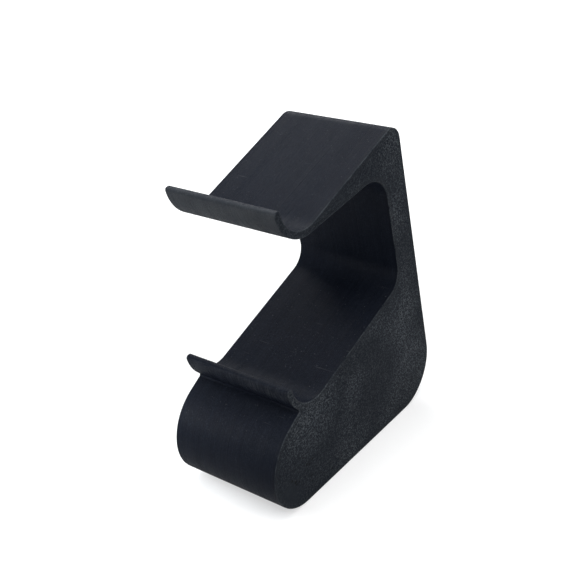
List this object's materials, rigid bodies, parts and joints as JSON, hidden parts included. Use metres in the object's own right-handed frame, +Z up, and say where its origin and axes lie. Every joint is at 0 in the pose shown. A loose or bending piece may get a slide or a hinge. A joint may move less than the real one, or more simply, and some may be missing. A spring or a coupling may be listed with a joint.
{
  "type": "game controller stand",
  "caption": "Tiered desk stand printed in one piece: curled lips and sloping trays stacked on a leaning column over a solid, round-toed foot.",
  "frame": {"origin": "on the ground, in the middle of the stand's width and depth", "axes": "+X to the stand's right as seen by the person in front of it, -Y to the front, where the lips are, +Z up"},
  "size_m": [0.05, 0.115, 0.1342],
  "materials": {
    "printed_plastic": "matt black print: fine layer lines round the outline, grainy right side, finely ruled left side"
  },
  "bodies": {
    "root": {"stand": "printed_plastic"}
  },
  "joints": []
}
